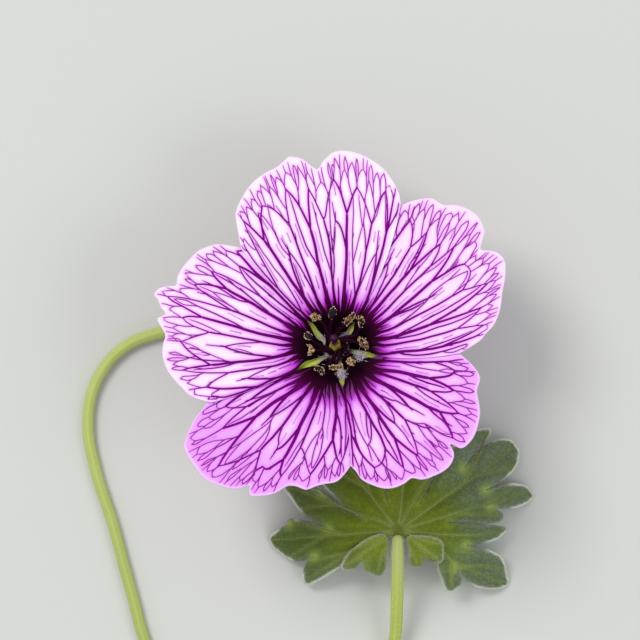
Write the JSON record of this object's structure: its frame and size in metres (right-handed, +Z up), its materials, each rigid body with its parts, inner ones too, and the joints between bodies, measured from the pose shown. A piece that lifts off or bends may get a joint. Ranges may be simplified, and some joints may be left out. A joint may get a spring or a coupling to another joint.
{
  "type": "hardy geranium shoot",
  "caption": "Picked hardy geranium shoot: an open veined bloom and a cut palmate leaf, each on its own slender stalk from one short stem, laid flat for garden, bed or posy scenes.",
  "frame": {"origin": "bottom centre of the bounding box, on the surface the shoot lies on", "axes": "+Z up from the surface; +Y from the cut stem end towards the bloom; +X to the right seen from above"},
  "size_m": [0.0496, 0.0798, 0.0204],
  "materials": {
    "petal": "matte",
    "sepal": "matte",
    "receptacle": "matte",
    "pistil": "matte",
    "stamen": "matte",
    "stalk": "matte",
    "leaf_stalk": "matte",
    "stem": "matte",
    "leaf": "matte",
    "stipule": "matte"
  },
  "bodies": {
    "root": {"petal_top": "petal", "petal_upper_right": "petal", "petal_lower_right": "petal", "petal_lower_left": "petal", "petal_left": "petal", "sepal_1": "sepal", "sepal_2": "sepal", "sepal_3": "sepal", "sepal_4": "sepal", "sepal_5": "sepal", "receptacle": "receptacle", "pistil": "pistil", "stamen_1": "stamen", "stamen_2": "stamen", "stamen_3": "stamen", "stamen_4": "stamen", "stamen_5": "stamen", "stamen_6": "stamen", "stamen_7": "stamen", "stamen_8": "stamen", "stamen_9": "stamen", "stamen_10": "stamen", "flower_stalk": "stalk", "leaf_stalk": "leaf_stalk", "shoot_stem": "stem", "leaf_blade": "leaf", "stipule_1": "stipule", "stipule_2": "stipule"}
  },
  "joints": []
}
